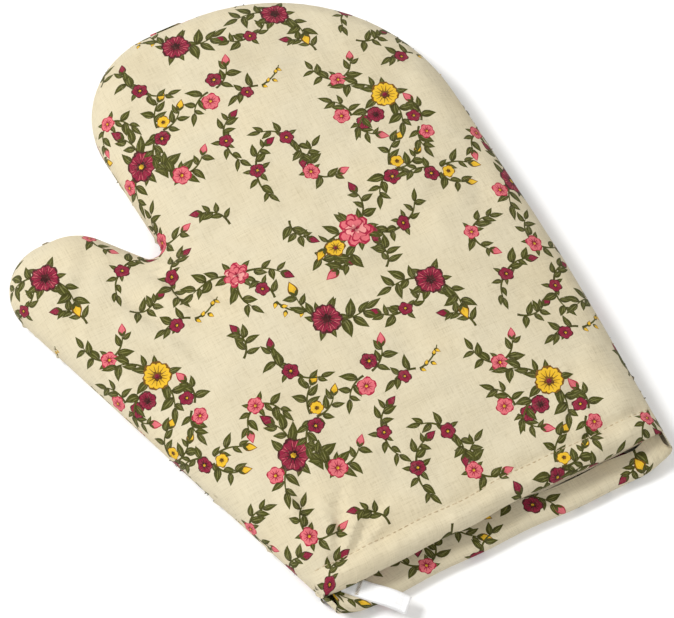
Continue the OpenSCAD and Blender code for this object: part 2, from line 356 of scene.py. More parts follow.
def inner_lift(flat, front):
    """Puts points of a lining where it lies, inside the padded panel."""
    x, s = flat[:, 0], flat[:, 1]
    d = np.maximum(nearest(flat)[0], 0)
    _, inner_top, inner_bottom, _ = heights(s, d)
    out = np.zeros((len(x), 3))
    out[:, 0], out[:, 1] = x, s
    out[:, 2] = (inner_top + 0.35) if front else (inner_bottom - 0.35)
    wave = 0.35 * ripple(x + 40, s)
    out[:, 2] += wave * (1 if front else -1) * smooth((d - 6) / 20) * smooth((s - 26) / 20)
    return out


# ---------------------------------------------------------------- cloth simulation

GRID = 4.0


def simulate(front):
    """Lets the panel's cloth, a little too big for its filling, buckle over it.

    Returns a function that says how far the cloth moved at each flat place.
    """
    xs = np.arange(-168, 100, GRID)
    ys = np.arange(14, 308, GRID)
    gx, gy = np.meshgrid(xs, ys, indexing="ij")
    flat = np.stack([gx.ravel(), gy.ravel()], 1)
    d, _ = nearest(flat)
    keep = d > 0.5
    index = -np.ones(len(flat), int)
    index[keep] = np.arange(keep.sum())
    index = index.reshape(gx.shape)
    used = flat[keep]
    rest = lift(used, front)
    faces = []
    for i in range(len(xs) - 1):
        for j in range(len(ys) - 1):
            quad = [index[i, j], index[i + 1, j], index[i + 1, j + 1], index[i, j + 1]]
            if min(quad) >= 0:
                faces.append(quad)
    mesh = bpy.data.meshes.new("sim")
    mesh.from_pydata([tuple(v / 1000) for v in rest], [], faces)
    obj = bpy.data.objects.new("sim", mesh)
    bpy.context.scene.collection.objects.link(obj)
    # The filling holds the cloth back: softly in the open, firmly at the seam and stitches.
    du = d[keep]
    hold = np.where(du < 6, 1.0, 0.03)
    hold = np.where(used[:, 1] < 28, np.maximum(hold, 0.75), hold)
    group = obj.vertex_groups.new(name="hold")
    for i, w in enumerate(hold):
        group.add([i], float(w), "REPLACE")
    grow = obj.vertex_groups.new(name="grow")
    near_crotch = np.exp(-(np.hypot(used[:, 0] + 78, used[:, 1] - 170) / 40) ** 2)
    near_corner = np.exp(-(np.hypot(used[:, 0] + 70, used[:, 1] - 30) / 42) ** 2)
    near_seam = np.exp(-(du / 22) ** 2)
    amount = np.clip(0.35 + 0.5 * near_crotch + 0.6 * near_corner + 0.35 * near_seam, 0, 1)
    for i, w in enumerate(amount):
        grow.add([i], float(w), "REPLACE")
    cloth = obj.modifiers.new("Cloth", "CLOTH")
    setting = cloth.settings
    setting.quality = 6
    setting.mass = 0.25
    setting.tension_stiffness = 18
    setting.compression_stiffness = 18
    setting.shear_stiffness = 6
    setting.bending_stiffness = 0.15
    setting.air_damping = 3
    setting.vertex_group_mass = "hold"
    setting.pin_stiffness = 0.5
    setting.use_pressure = True
    setting.uniform_pressure_force = 4.0
    setting.shrink_min = 0.0
    setting.shrink_max = -0.12
    setting.vertex_group_shrink = "grow"
    setting.effector_weights.gravity = 0
    cloth.collision_settings.use_collision = False
    cloth.collision_settings.use_self_collision = False
    scene = bpy.context.scene
    for frame_number in range(1, 21):
        scene.frame_set(frame_number)
    moved = obj.evaluated_get(bpy.context.evaluated_depsgraph_get()).to_mesh()
    after = np.array([v.co for v in moved.vertices]) * 1000
    shift = after - rest
    length = np.linalg.norm(shift, axis=1)
    shift *= (np.minimum(length, 5.0) / np.maximum(length, 1e-9))[:, None]
    print("cloth moved", front, round(float(length.mean()), 2), round(float(length.max()), 2))
    field = np.zeros((len(xs), len(ys), 3))
    field.reshape(-1, 3)[keep] = shift
    bpy.data.objects.remove(obj)
    bpy.data.meshes.remove(mesh)
    scene.frame_set(1)

    def displaced(x, y):
        """The field between grid points, by a smooth spline."""
        u = np.clip((x - xs[0]) / GRID, 1.001, len(xs) - 2.001)
        v = np.clip((y - ys[0]) / GRID, 1.001, len(ys) - 2.001)
        iu, iv = u.astype(int), v.astype(int)
        fu, fv = u - iu, v - iv

        def weights(f):
            return [
                (1 - f) ** 3 / 6,
                (3 * f**3 - 6 * f**2 + 4) / 6,
                (-3 * f**3 + 3 * f**2 + 3 * f + 1) / 6,
                f**3 / 6,
            ]

        total = np.zeros((len(x), 3))
        for a, wa in enumerate(weights(fu)):
            for b, wb in enumerate(weights(fv)):
                ia = np.clip(iu + a - 1, 0, len(xs) - 1)
                ib = np.clip(iv + b - 1, 0, len(ys) - 1)
                total += field[ia, ib] * (wa * wb)[:, None]
        return total * smooth((y - 18) / 10)[:, None]

    return displaced


# ---------------------------------------------------------------- the print

LEAF, LEAF_DARK, STEM, WINE, WINE_DARK, ROSE, ROSE_LIGHT, GOLD, GOLD_DARK, CRIMSON = range(1, 11)


class Print:
    """Closed shapes in flat millimetres, each with an ink and a frame of its own."""

    def __init__(self):
        self.shapes = []
        self.inks = []
        self.frames = []

    def shape(self, points, ink, origin, direction, length, width):
        self.shapes.append(points)
        self.inks.append(ink)
        self.frames.append((origin, direction, max(length, 0.1), max(width, 0.1)))

    def leaf(self, base, angle, length, width, ink=LEAF, bend=0.0):
        base = np.array(base, float)
        points = []
        n = 7
        for side in (1, -1):
            for k in range(n + 1):
                t = k / n if side == 1 else 1 - k / n
                if side == -1 and k in (0, n):
                    continue
                w = width / 2 * math.sin(math.pi * t**0.8) * (1 - 0.25 * t)
                a = angle + bend * (t - 0.2)
                p = base + t * length * np.array([math.cos(a), math.sin(a)])
                p = p + side * w * np.array([-math.sin(a), math.cos(a)])
                points.append(p)
        direction = np.array([math.cos(angle + bend * 0.5), math.sin(angle + bend * 0.5)])
        self.shape(points, ink, base, direction, length, width / 2)

    def leaf_pair(self, base, angle, length, width, bend=0.0):
        self.leaf(base, angle, length, width, LEAF, bend)
        tip = np.array(base, float) + 0.12 * length * np.array([math.cos(angle), math.sin(angle)])
        self.leaf(tip, angle + bend * 0.1, length * 0.66, width * 0.13, LEAF_DARK, bend)
        off = tip + width * 0.17 * np.array([-math.sin(angle), math.cos(angle)])
        self.leaf(off, angle + bend * 0.2 + 0.16, length * 0.45, width * 0.09, LEAF_DARK, bend)

    def ribbon(self, points, width, ink=STEM):
        """A thin stroke through the points, narrowing to its end."""
        points = [np.array(p, float) for p in points]
        left, right = [], []
        n = len(points)
        for i, p in enumerate(points):
            t = points[min(i + 1, n - 1)] - points[max(i - 1, 0)]
            t = t / (np.linalg.norm(t) + 1e-9)
            w = width / 2 * (1 - 0.55 * i / (n - 1))
            normal = np.array([-t[1], t[0]])
            left.append(p + normal * w)
            right.append(p - normal * w)
        direction = points[-1] - points[0]
        length = np.linalg.norm(direction) + 1e-6
        self.shape(left + right[::-1], ink, points[0], direction / length, length, width)

    def arc(self, start, angle, length, curl, width=1.1, ink=STEM, steps=9):
        """A curved stem. Returns points and headings along it."""
        p = np.array(start, float)
        places = [(p.copy(), angle)]
        for _ in range(steps):
            angle += curl / steps
            p = p + length / steps * np.array([math.cos(angle), math.sin(angle)])
            places.append((p.copy(), angle))
        self.ribbon([q for q, _ in places], width, ink)
        return places

    def blob(self, centre, radius, ink, lobes=0, depth=0.2, turn=0.0, stretch=1.0, n=14):
        centre = np.array(centre, float)
        points = []
        for k in range(n):
            a = 2 * math.pi * k / n
            r = radius * (1 + depth * math.cos(lobes * a) if lobes else 1)
            q = np.array([r * stretch * math.cos(a), r / stretch * math.sin(a)])
            c, s = math.cos(turn), math.sin(turn)
            points.append(centre + np.array([q[0] * c - q[1] * s, q[0] * s + q[1] * c]))
        direction = np.array([math.cos(turn), math.sin(turn)])
        self.shape(points, ink, centre, direction, radius, radius)

    def petal(self, centre, angle, length, width, ink, notch=0.12):
        """A petal that widens to a shallow notch at its tip."""
        centre = np.array(centre, float)
        direction = np.array([math.cos(angle), math.sin(angle)])
        across = np.array([-direction[1], direction[0]])
        outline = [(0.05, 0.12), (0.3, 0.62), (0.6, 0.98), (0.85, 0.9), (0.98, 0.5)]
        points = [centre + direction * length * a + across * width / 2 * b for a, b in outline]
        points.append(centre + direction * length * (1 - notch))
        points += [centre + direction * length * a - across * width / 2 * b for a, b in outline[::-1]]
        self.shape(points, ink, centre, direction, length, width / 2)

    def flower(self, centre, radius, count, ink, edge, heart, turn=0.0, rng=None, fat=1.0):
        """Open flower: an edge colour shows round each petal, with dark strokes and a heart."""
        centre = np.array(centre, float)
        wide = 2 * radius * math.sin(math.pi / count) * 1.15 * fat
        reach = []
        for k in range(count):
            a = turn + 2 * math.pi * k / count + rng.uniform(-0.09, 0.09)
            r = radius * rng.uniform(0.9, 1.08)
            reach.append((a, r))
        for a, r in reach:
            self.petal(centre, a, r * 1.06, wide * 1.14, edge)
        for a, r in reach:
            away = centre + 0.12 * radius * np.array([math.cos(a), math.sin(a)])
            self.petal(away, a, r * 0.82, wide * 0.80, ink)
            if radius > 5 and ink == WINE:
                for off in (-0.13, 0.12):
                    start = centre + 0.55 * radius * np.array([math.cos(a + off), math.sin(a + off)])
                    end = centre + 0.88 * r * np.array([math.cos(a + off * 1.3), math.sin(a + off * 1.3)])
                    self.ribbon([end, (start + end) / 2, start], 0.34, ROSE)
            if radius > 3.4:
                for off in (-0.22, 0.2):
                    start = centre + 0.3 * radius * np.array([math.cos(a + off), math.sin(a + off)])
                    end = centre + 0.74 * r * np.array([math.cos(a + off * 1.1), math.sin(a + off * 1.1)])
                    self.ribbon([start, (start + end) / 2, end], 0.42, edge)
        self.blob(centre, radius * 0.32, edge, 5, 0.22, turn)
        self.blob(centre, radius * 0.17, heart, 6, 0.2, turn + 0.3)

    def rose(self, centre, radius, turn, rng, inner=ROSE, light=ROSE_LIGHT, edge=CRIMSON):
        """A full flower of ragged petals that overlap in two rounds."""
        centre = np.array(centre, float)
        for count, share in ((7, 1.0), (5, 0.66)):
            for k in range(count):
                a = turn + 2 * math.pi * k / count + rng.uniform(-0.15, 0.15) + share
                r = radius * share * rng.uniform(0.88, 1.1)
                wide = 2 * r * math.sin(math.pi / count) * 1.35
                self.petal(centre, a, r * 1.05, wide * 1.1, edge, 0.2)
                away = centre + 0.1 * r * np.array([math.cos(a), math.sin(a)])
                self.petal(away, a, r * 0.86, wide * 0.86, light if rng.random() < 0.45 else inner, 0.22)
        for k in range(4):
            a = turn + k * 1.6
            spot = centre + radius * 0.16 * np.array([math.cos(a), math.sin(a)])
            self.blob(spot, radius * 0.13, edge if k % 2 else light, 0, 0, a, 1.4, 8)

    def bud(self, base, angle, size, ink, edge):
        base = np.array(base, float)
        self.leaf(base, angle, size * 1.9, size * 1.25, edge)
        away = base + 0.25 * size * np.array([math.cos(angle), math.sin(angle)])
        self.leaf(away, angle, size * 1.5, size * 0.85, ink)
        self.leaf(base, angle + 0.5, size * 0.95, size * 0.42, LEAF)
        self.leaf(base, angle - 0.5, size * 0.95, size * 0.42, LEAF)

    def spray(self, start, angle, length, curl, rng, leaves=5, size=5.0, end=None, width=1.2):
        """A stem with leaves in turn on both sides, and a bud or a leaf at its end."""
        size *= 1.75
        places = self.arc(start, angle, length, curl * 1.3, width)
        for k in range(leaves):
            at = 0.22 + 0.72 * k / max(leaves - 1, 1)
            p, heading = places[min(int(at * (len(places) - 1) + 0.5), len(places) - 1)]
            side = 1 if k % 2 else -1
            scale = rng.uniform(0.75, 1.15) * (1 - 0.25 * at)
            aim = heading + side * rng.uniform(0.6, 1.15)
            wide = size * rng.uniform(0.46, 0.62) * scale
            self.leaf_pair(p, aim, size * scale, wide, side * rng.uniform(-0.5, 0.5))
        tip, heading = places[-1]
        if end is None:
            self.leaf_pair(tip, heading, size * 0.9, size * 0.38)
        else:
            ink, edge = end
            self.bud(tip, heading, size * 0.44, ink, edge)
        return places


def cluster(kind, centre, turn, size, rng, pr):
    """One group of the print. Angles are from the direction turn, sizes in millimetres."""
    c = np.array(centre, float)
    big = {"lily": 5.2, "peony": 5.4, "daisy": 5.0, "rose": 4.2, "wine": 4.8}.get(kind, 2.2)
    if kind not in ("sprig", "bells", "pair"):
        count = 5 if big > 3 else 3
        for k in range(count):
            a = turn + 0.5 + k * 2 * math.pi / count + rng.uniform(-0.35, 0.35)
            base = c + big * size * 0.8 * np.array([math.cos(a), math.sin(a)])
            reach = (5.6 + big) * rng.uniform(0.7, 1.0) * (0.8 if big > 3 else 0.75)
            pr.leaf_pair(base, a + rng.uniform(-0.3, 0.3), reach, reach * 0.52, rng.uniform(-0.4, 0.4))

    def at(distance, angle):
        return c + distance * size * np.array([math.cos(turn + angle), math.sin(turn + angle)])

    def spray(distance, angle, heading, length, curl, count, leaf, end=None):
        pr.spray(at(distance, angle), turn + heading, length * size, curl, rng, count, leaf, end)

    def leaves(distance, angle, heading, length, width):
        pr.leaf_pair(at(distance, angle), turn + heading, length, width)

    def flower(distance, angle, radius, petals, ink, edge, heart, more=0, fat=1.0):
        pr.flower(at(distance, angle), radius * size, petals, ink, edge, heart, turn + more, rng, fat)

    if kind == "lily":
        spray(3, 0.5, 0.6, 13, 0.5, 4, 5.5)
        spray(3, 2.8, 2.7, 16, -0.5, 4, 6.4)
        spray(3, 4.4, 4.3, 13, 0.7, 4, 5.6, (WINE, WINE_DARK))
        leaves(3, 1.7, 1.8, 8.5, 4.2)
        leaves(3, 3.6, 3.6, 8.0, 3.6)
        flower(11, 0.35, 3.4, 5, ROSE, CRIMSON, GOLD)
        flower(0, 0, 6.6, 6, WINE, WINE_DARK, GOLD, fat=0.95)
    elif kind == "peony":
        spray(4, 1.2, 1.1, 13, 0.8, 4, 5.0, (GOLD, GOLD_DARK))
        spray(4, 2.6, 2.5, 17, -0.6, 5, 5.4, (ROSE, CRIMSON))
        spray(4, 5.2, 5.1, 14, 0.9, 4, 5.0, (WINE, WINE_DARK))
        leaves(4, 0.2, 0.1, 7.5, 3.6)
        leaves(4, 3.8, 3.9, 7.5, 3.8)
        flower(12, 1.75, 3.9, 5, GOLD, GOLD_DARK, WINE)
        pr.rose(c, 6.8 * size, turn, rng)
    elif kind == "daisy":
        spray(3, 0.3, 0.3, 15, 0.7, 4, 5.2)
        spray(3, 3.4, 3.5, 13, -0.7, 4, 5.4)
        spray(9, 1.9, 1.6, 11, 0.6, 3, 4.8)
        flower(11, 2.2, 3.8, 6, WINE, WINE_DARK, WINE_DARK)
        flower(0, 0, 6.2, 7, GOLD, GOLD_DARK, WINE, fat=0.9)
    elif kind == "rose":
        spray(4, 2.9, 2.8, 16, 0.6, 5, 5.6)
        spray(4, 0.1, 0, 15, -0.6, 4, 5.0, (WINE, WINE_DARK))
        spray(4, 4.4, 4.3, 12, 0.8, 3, 4.8)
        pr.rose(c, 5.2 * size, turn, rng)
    elif kind == "wine":
        spray(3, 1.9, 1.9, 14, 0.6, 5, 5.6)
        spray(3, 4.9, 4.9, 14, -0.7, 4, 5.6, (GOLD, GOLD_DARK))
        leaves(3, 3.3, 3.3, 8.0, 4.2)
        leaves(3, 0.2, 0.2, 8.0, 3.8)
        flower(0, 0, 6.0, 7, WINE, WINE_DARK, WINE_DARK, fat=0.95)
    elif kind == "pair":
        spray(2, 2.2, 2.3, 12, 0.8, 4, 4.8, (ROSE, CRIMSON))
        spray(2, 5.3, 5.3, 12, 0.8, 4, 4.8)
        flower(5.5, 0, 3.7, 5, ROSE, CRIMSON, GOLD)
        flower(5.5, math.pi, 3.5, 5, WINE, WINE_DARK, GOLD, more=0.6)
    elif kind == "golden":
        spray(2, 0.8, 0.8, 13, 0.9, 4, 4.4, (GOLD, GOLD_DARK))
        spray(2, 2.6, 2.6, 14, -0.7, 4, 4.6, (GOLD, GOLD_DARK))
        spray(2, 4.8, 4.7, 12, 0.6, 4, 5.0)
        flower(5, 1.7, 3.0, 5, GOLD, GOLD_DARK, GOLD_DARK)
        flower(4, 5.6, 3.6, 5, WINE, WINE_DARK, GOLD)
    elif kind == "bells":
        pr.arc(at(0, 0), turn + 1.2, 16 * size, 0.9)
        for k in range(5):
            p = at(3.2 * k, 0.9 + 0.2 * k)
            pr.bud(p, turn + 1.2 + (0.9 if k % 2 else -0.9), 2.0 * size, GOLD, GOLD_DARK)
        spray(2, 3.9, 3.9, 13, 0.7, 4, 4.8)
        flower(9, 4.4, 3.3, 5, WINE, WINE_DARK, GOLD)
    elif kind == "bloom":
        spray(2, 1.0, 1.0, 11, 0.8, 3, 4.4, (ROSE, CRIMSON))
        spray(2, 3.6, 3.6, 12, -0.8, 4, 4.6)
        flower(0, 0, 3.7, 5, ROSE, CRIMSON, GOLD)
    elif kind == "spot":
        spray(2, 1.3, 1.3, 11, -0.8, 4, 4.6, (WINE, WINE_DARK))
        spray(2, 4.2, 4.2, 11, 0.7, 3, 4.4)
        flower(0, 0, 3.4, 5, WINE, WINE_DARK, GOLD)
    else:
        pr.spray(c, turn, 15 * size, 1.0, rng, 6, 4.6, (WINE, WINE_DARK))


# The print is a half-drop repeat. Its groups stand on a grid, each a little off its place.
COLUMNS, ROWS = 6, 6
COLUMN_GAP, ROW_GAP = 26.0, 27.0
REPEAT_A = np.array([0.0, ROWS * ROW_GAP])
REPEAT_B = np.array([COLUMNS * COLUMN_GAP, ROWS * ROW_GAP / 2])
PRINT_SCALE = 1.1
MAIN_KINDS = ["peony", "wine", "daisy", "lily", "rose", "wine"]
SMALL_KINDS = ["sprig", "bloom", "spot", "golden", "pair", "bells", "spot", "bloom", "sprig"]


def groups():
    """The groups of one repeat: the kind, place, direction and size of each."""
    rng = random.Random(42)
    small = []
    out = []
    for column in range(COLUMNS):
        for row in range(ROWS):
            x = (column + rng.uniform(-0.24, 0.24)) * COLUMN_GAP
            y = (row + 0.5 * (column % 2) + rng.uniform(-0.22, 0.22)) * ROW_GAP
            turn = rng.uniform(0, 2 * math.pi)
            if (row + 2 * column + column // 3) % ROWS == 0:
                out.append((MAIN_KINDS[column], x, y, turn, 1.0))
                continue
            if not small:
                small = rng.sample(SMALL_KINDS, len(SMALL_KINDS))
            out.append((small.pop(), x, y, turn, rng.uniform(0.8, 1.0)))
    return out


def floral(shift, seed):
    """The printed pattern over the whole panel, as a half-drop repeat."""
    pr = Print()
    order = []
    for i in range(-2, 3):
        for j in range(-2, 3):
            for k, (kind, x, y, turn, size) in enumerate(groups()):
                c = np.array([x, y]) + i * REPEAT_A + j * REPEAT_B + np.array(shift)
                if -185 < c[0] < 110 and -45 < c[1] < 322:
                    order.append((k, kind, c, turn, size))
    for k, kind, c, turn, size in order:
        cluster(kind, c, turn, size * PRINT_SCALE, random.Random(seed + k), pr)
    ends = np.cumsum([len(q) for q in pr.shapes])[:-1]
    pr.shapes = np.split(cloth_to_flat(np.vstack(pr.shapes)), ends)
    return pr


# ---------------------------------------------------------------- panels as meshes


def inset_line(inset, gap):
    """The outline moved inward, with points at equal gaps."""
    base = even(OUTLINE, gap)
    d = np.roll(base, -1, axis=0) - np.roll(base, 1, axis=0)
    d /= np.linalg.norm(d, axis=1)[:, None]
    normal = np.stack([-d[:, 1], d[:, 0]], 1)
    return base + normal * inset


def build_panel(front, pr, step, low):
    """Triangulates a panel's flat shape with the print's shapes cut into it."""
    verts, edges = [], []
    ring_angles = (8, 16, 26, 38, 52, 68)
    rings = [0.02, 0.7, TUCK] + [
        TUCK + (EDGE - TUCK) * (1 - math.cos(math.radians(a))) for a in ring_angles
    ]
    bounds = inset_line(0.0, 2.5)
    bounds = bounds[bounds[:, 1] > low + 1.5]
    # The panel runs on below the rim as a straight strip, which turns round it.
    start = int(np.argmax(np.linalg.norm(np.diff(np.vstack([bounds, bounds[:1]]), axis=0), axis=1))) + 1
    bounds = np.roll(bounds, -start, axis=0)
    domain = list(bounds)
    bottom_row = np.linspace(domain[-1][0], domain[0][0], 60)
    domain += [np.array([x, low]) for x in bottom_row]
    verts += [Vector((float(p[0]), float(p[1]))) for p in domain]
    edges += [(i, (i + 1) % len(domain)) for i in range(len(domain))]
    for inset in rings[1:]:
        line = inset_line(inset, 3.0)
        base = len(verts)
        verts += [Vector((float(p[0]), float(p[1]))) for p in line]
        for i in range(len(line)):
            j = (i + 1) % len(line)
            if line[i][1] > low and line[j][1] > low:
                edges.append((base + i, base + j))
    for cut in cut_lines():
        base = len(verts)
        verts += [Vector((float(p[0]), float(p[1]))) for p in cut]
        edges += [(base + i, base + i + 1) for i in range(len(cut) - 1)]
    xs = np.arange(-165, 90, step)
    ys = np.arange(low + step / 2, 300, step)
    gx, gy = np.meshgrid(xs, ys, indexing="ij")
    grid = np.stack([gx.ravel(), gy.ravel()], 1)
    grid[:, 0] += np.where((np.arange(len(grid)) % 2) == 0, step * 0.25, -step * 0.25)
    d, _ = nearest(grid)
    grid = grid[d > EDGE * 0.45]
    verts += [Vector((float(p[0]), float(p[1]))) for p in grid]
    # Finer rows where the cloth turns over the rim and at the row of stitches.
    rows = [(y, False) for y in np.arange(low + 0.8, 16, 1.3)]
    rows += [(y, True) for y in (-3.4, -2.2, -1.4, -0.7, 0.0, 0.7, 1.4, 2.2, 3.4)]
    for k, (y, by_rim) in enumerate(rows if pr is not None else []):
        across = np.arange(-118, 86, 2.2) + 1.1 * (k % 2)
        height = rim_of(front, across) + HEM_ROW + y if by_rim else np.full(len(across), y)
        line = np.stack([across, height], 1)
        d, _ = nearest(line)
        line = line[d > 1.0]
        verts += [Vector((float(p[0]), float(p[1]))) for p in line]
    shapes = [] if pr is None else [(k, q) for k, q in enumerate(pr.shapes)]
    if shapes:
        middles = np.array([np.mean(q, axis=0) for _, q in shapes])
        deep, _ = nearest(middles)
        near = (deep > -6) & (middles[:, 1] > low - 4)
        shapes = [shape for shape, good in zip(shapes, near) if good]
    for _, outline in shapes:
        base = len(verts)
        verts += [Vector((float(p[0]), float(p[1]))) for p in outline]
        edges += [(base + i, base + (i + 1) % len(outline)) for i in range(len(outline))]
    out = delaunay_2d_cdt(verts, edges, [], 0, 1e-5, False)
    flat = np.array([(v.x, v.y) for v in out[0]])
    tris = np.array(out[2])
    centres = flat[tris].mean(axis=1)
    tris = tris[within(np.array(domain), centres)]
    centres = flat[tris].mean(axis=1)
    order = np.argsort(centres[:, 0])
    sorted_x = centres[order, 0]
    top_shape = np.full(len(tris), -1)
    for k, outline in shapes:
        q = np.array(outline)
        lo, hi = np.searchsorted(sorted_x, [q[:, 0].min(), q[:, 0].max()])
        some = order[lo:hi]
        y = centres[some, 1]
        some = some[(y > q[:, 1].min()) & (y < q[:, 1].max())]
        top_shape[some[within(q, centres[some])]] = k
    return flat, tris, top_shape


def within(polygon, p):
    """Which points are inside a closed line."""
    count = np.zeros(len(p), int)
    for a, b in zip(polygon, np.roll(polygon, -1, axis=0)):
        if a[1] == b[1]:
            continue
        spans = (p[:, 1] >= min(a[1], b[1])) & (p[:, 1] < max(a[1], b[1]))
        x = a[0] + (p[:, 1] - a[1]) / (b[1] - a[1]) * (b[0] - a[0])
        count += spans & (x > p[:, 0])
    return count % 2 == 1


def cut_lines():
    """Where one piece of a panel ends and the next begins, as lines of close points."""
    def line(a, b, gap=2.5):
        n = max(2, int(math.dist(a, b) / gap))
        return [np.array(a) + (np.array(b) - np.array(a)) * k / n for k in range(n + 1)]

    end = THUMB_OUTER + THUMB_DIRECTION * 25
    return [
        line((-130, MOUTH_FOLD), (100, MOUTH_FOLD)),
        line((-110, FINGER_FOLD - FINGER_SPREAD), (100, FINGER_FOLD - FINGER_SPREAD)),
        line((0, -40), (0, MOUTH_FOLD)),
        line(THUMB_INNER, end),
        line(THUMB_INNER, THUMB_INNER + CROTCH_AIM * 9, 1.5),
    ]


def region_of(centres):
    """Which part of the panel each point is in."""
    x, y = centres[:, 0], centres[:, 1]
    away = centres - THUMB_INNER
    thumb = (away @ THUMB_NORMAL > 0) & (CROTCH_AIM[0] * away[:, 1] - CROTCH_AIM[1] * away[:, 0] > 0)
    region = np.full(len(centres), "palm", dtype=object)
    region[y < MOUTH_FOLD] = "cuff_right"
    region[(y < MOUTH_FOLD) & (x < 0)] = "cuff_left"
    region[y > FINGER_FOLD - FINGER_SPREAD] = "fingers"
    region[thumb & (y > MOUTH_FOLD)] = "thumb"
    return region


def put(mesh, name, kind, domain, values):
    """Stores one attribute of a mesh: a number or a vector for each point, corner or face."""
    attribute = mesh.attributes.new(name, kind, domain)
    key = "vector" if kind == "FLOAT_VECTOR" else "value"
    attribute.data.foreach_set(key, np.asarray(values, np.float32).ravel())


def make_object(name, verts, faces, material, smooth_shading=True):
    mesh = bpy.data.meshes.new(name)
    mesh.from_pydata([tuple(v) for v in verts], [], [tuple(f) for f in faces])
    if smooth_shading:
        mesh.polygons.foreach_set("use_smooth", [True] * len(mesh.polygons))
    obj = bpy.data.objects.new(name, mesh)
    bpy.context.scene.collection.objects.link(obj)
    if material is not None:
        mesh.materials.append(material)
    return obj


# ---------------------------------------------------------------- materials


def new_material(name):
    material = bpy.data.materials.new(name)
    material.use_nodes = True
    tree = material.node_tree
    return material, tree, tree.nodes["Principled BSDF"]


def node(tree, kind, links=None, **settings):
    """A shader node; keys that start with in_ set its sockets, by number or name."""
    made = tree.nodes.new(kind)
    for key, value in settings.items():
        if key.startswith("in_"):
            key = key[3:]
            made.inputs[int(key) if key.isdigit() else key.replace("_", " ")].default_value = value
        else:
            setattr(made, key, value)
    for target, source in (links or {}).items():
        tree.links.new(source, made.inputs[target])
    return made


def ramp(tree, source, stops, interpolation="LINEAR"):
    made = node(tree, "ShaderNodeValToRGB", {"Fac": source})
    made.color_ramp.interpolation = interpolation
    elements = made.color_ramp.elements
    while len(elements) < len(stops):
        elements.new(0.5)
    for element, (position, colour) in zip(elements, stops):
        element.position = position
    for element, (position, colour) in zip(elements, stops):
        element.color = (*colour, 1) if len(colour) == 3 else colour
    return made.outputs["Color"]


def maths(tree, operation, *values):
    """A maths node's output, from sockets and numbers in the order of its inputs."""
    made = node(tree, "ShaderNodeMath", operation=operation)
    for socket, value in zip(made.inputs, values):
        if isinstance(value, (int, float)):
            socket.default_value = value
        else:
            tree.links.new(value, socket)
    return made.outputs[0]


def mix(tree, blend_type, factor, first, second):
    """A colour mix's output; the factor is a socket or None for all of the second colour."""
    made = node(tree, "ShaderNodeMix", data_type="RGBA", blend_type=blend_type, in_0=1.0)
    if factor is not None:
        tree.links.new(factor, made.inputs[0])
    tree.links.new(first, made.inputs[6])
    tree.links.new(second, made.inputs[7])
    return made.outputs[2]


def noise(tree, coords, scale, detail=3.0, roughness=0.5):
    settings = {"in_Scale": scale, "in_Detail": detail, "in_Roughness": roughness}
    return node(tree, "ShaderNodeTexNoise", {"Vector": coords}, **settings).outputs["Fac"]


def weave(tree, coords, pitch):
    """Height of a plain weave with uneven threads, and its tone, from flat millimetres."""
    split = node(tree, "ShaderNodeSeparateXYZ", {0: coords})
    shift = maths(tree, "MULTIPLY", noise(tree, coords, 0.35, 2.0), 9.0)
    waves = []
    for axis in ("X", "Y"):
        turn = maths(tree, "MULTIPLY", split.outputs[axis], 2 * math.pi / pitch)
        waves.append(maths(tree, "SINE", maths(tree, "ADD", turn, shift)))
    crossed = maths(tree, "MULTIPLY", *waves)
    height = maths(tree, "MULTIPLY_ADD", crossed, 0.5, 0.5)
    slubs = []
    for scale in ((0.10, 1.9, 1.0), (1.9, 0.10, 1.0)):
        stretched = node(tree, "ShaderNodeVectorMath", {0: coords}, operation="MULTIPLY", in_1=scale)
        slubs.append(noise(tree, stretched.outputs[0], 1.0, 3.0, 0.65))
    both = maths(tree, "ADD", *slubs)
    tone = node(tree, "ShaderNodeMapRange", {"Value": both}, in_1=0.72, in_2=1.28).outputs[0]
    return maths(tree, "ADD", height, tone), tone


INK_COLOURS = [
    (0.0, (0.64, 0.57, 0.41)),
    (LEAF, (0.058, 0.060, 0.007)),
    (LEAF_DARK, (0.170, 0.172, 0.045)),
    (STEM, (0.072, 0.074, 0.009)),
    (WINE, (0.235, 0.010, 0.038)),
    (WINE_DARK, (0.062, 0.010, 0.012)),
    (ROSE, (0.660, 0.140, 0.165)),
    (ROSE_LIGHT, (0.770, 0.310, 0.290)),
    (GOLD, (0.740, 0.450, 0.022)),
    (GOLD_DARK, (0.160, 0.070, 0.006)),
    (CRIMSON, (0.360, 0.012, 0.045)),
]


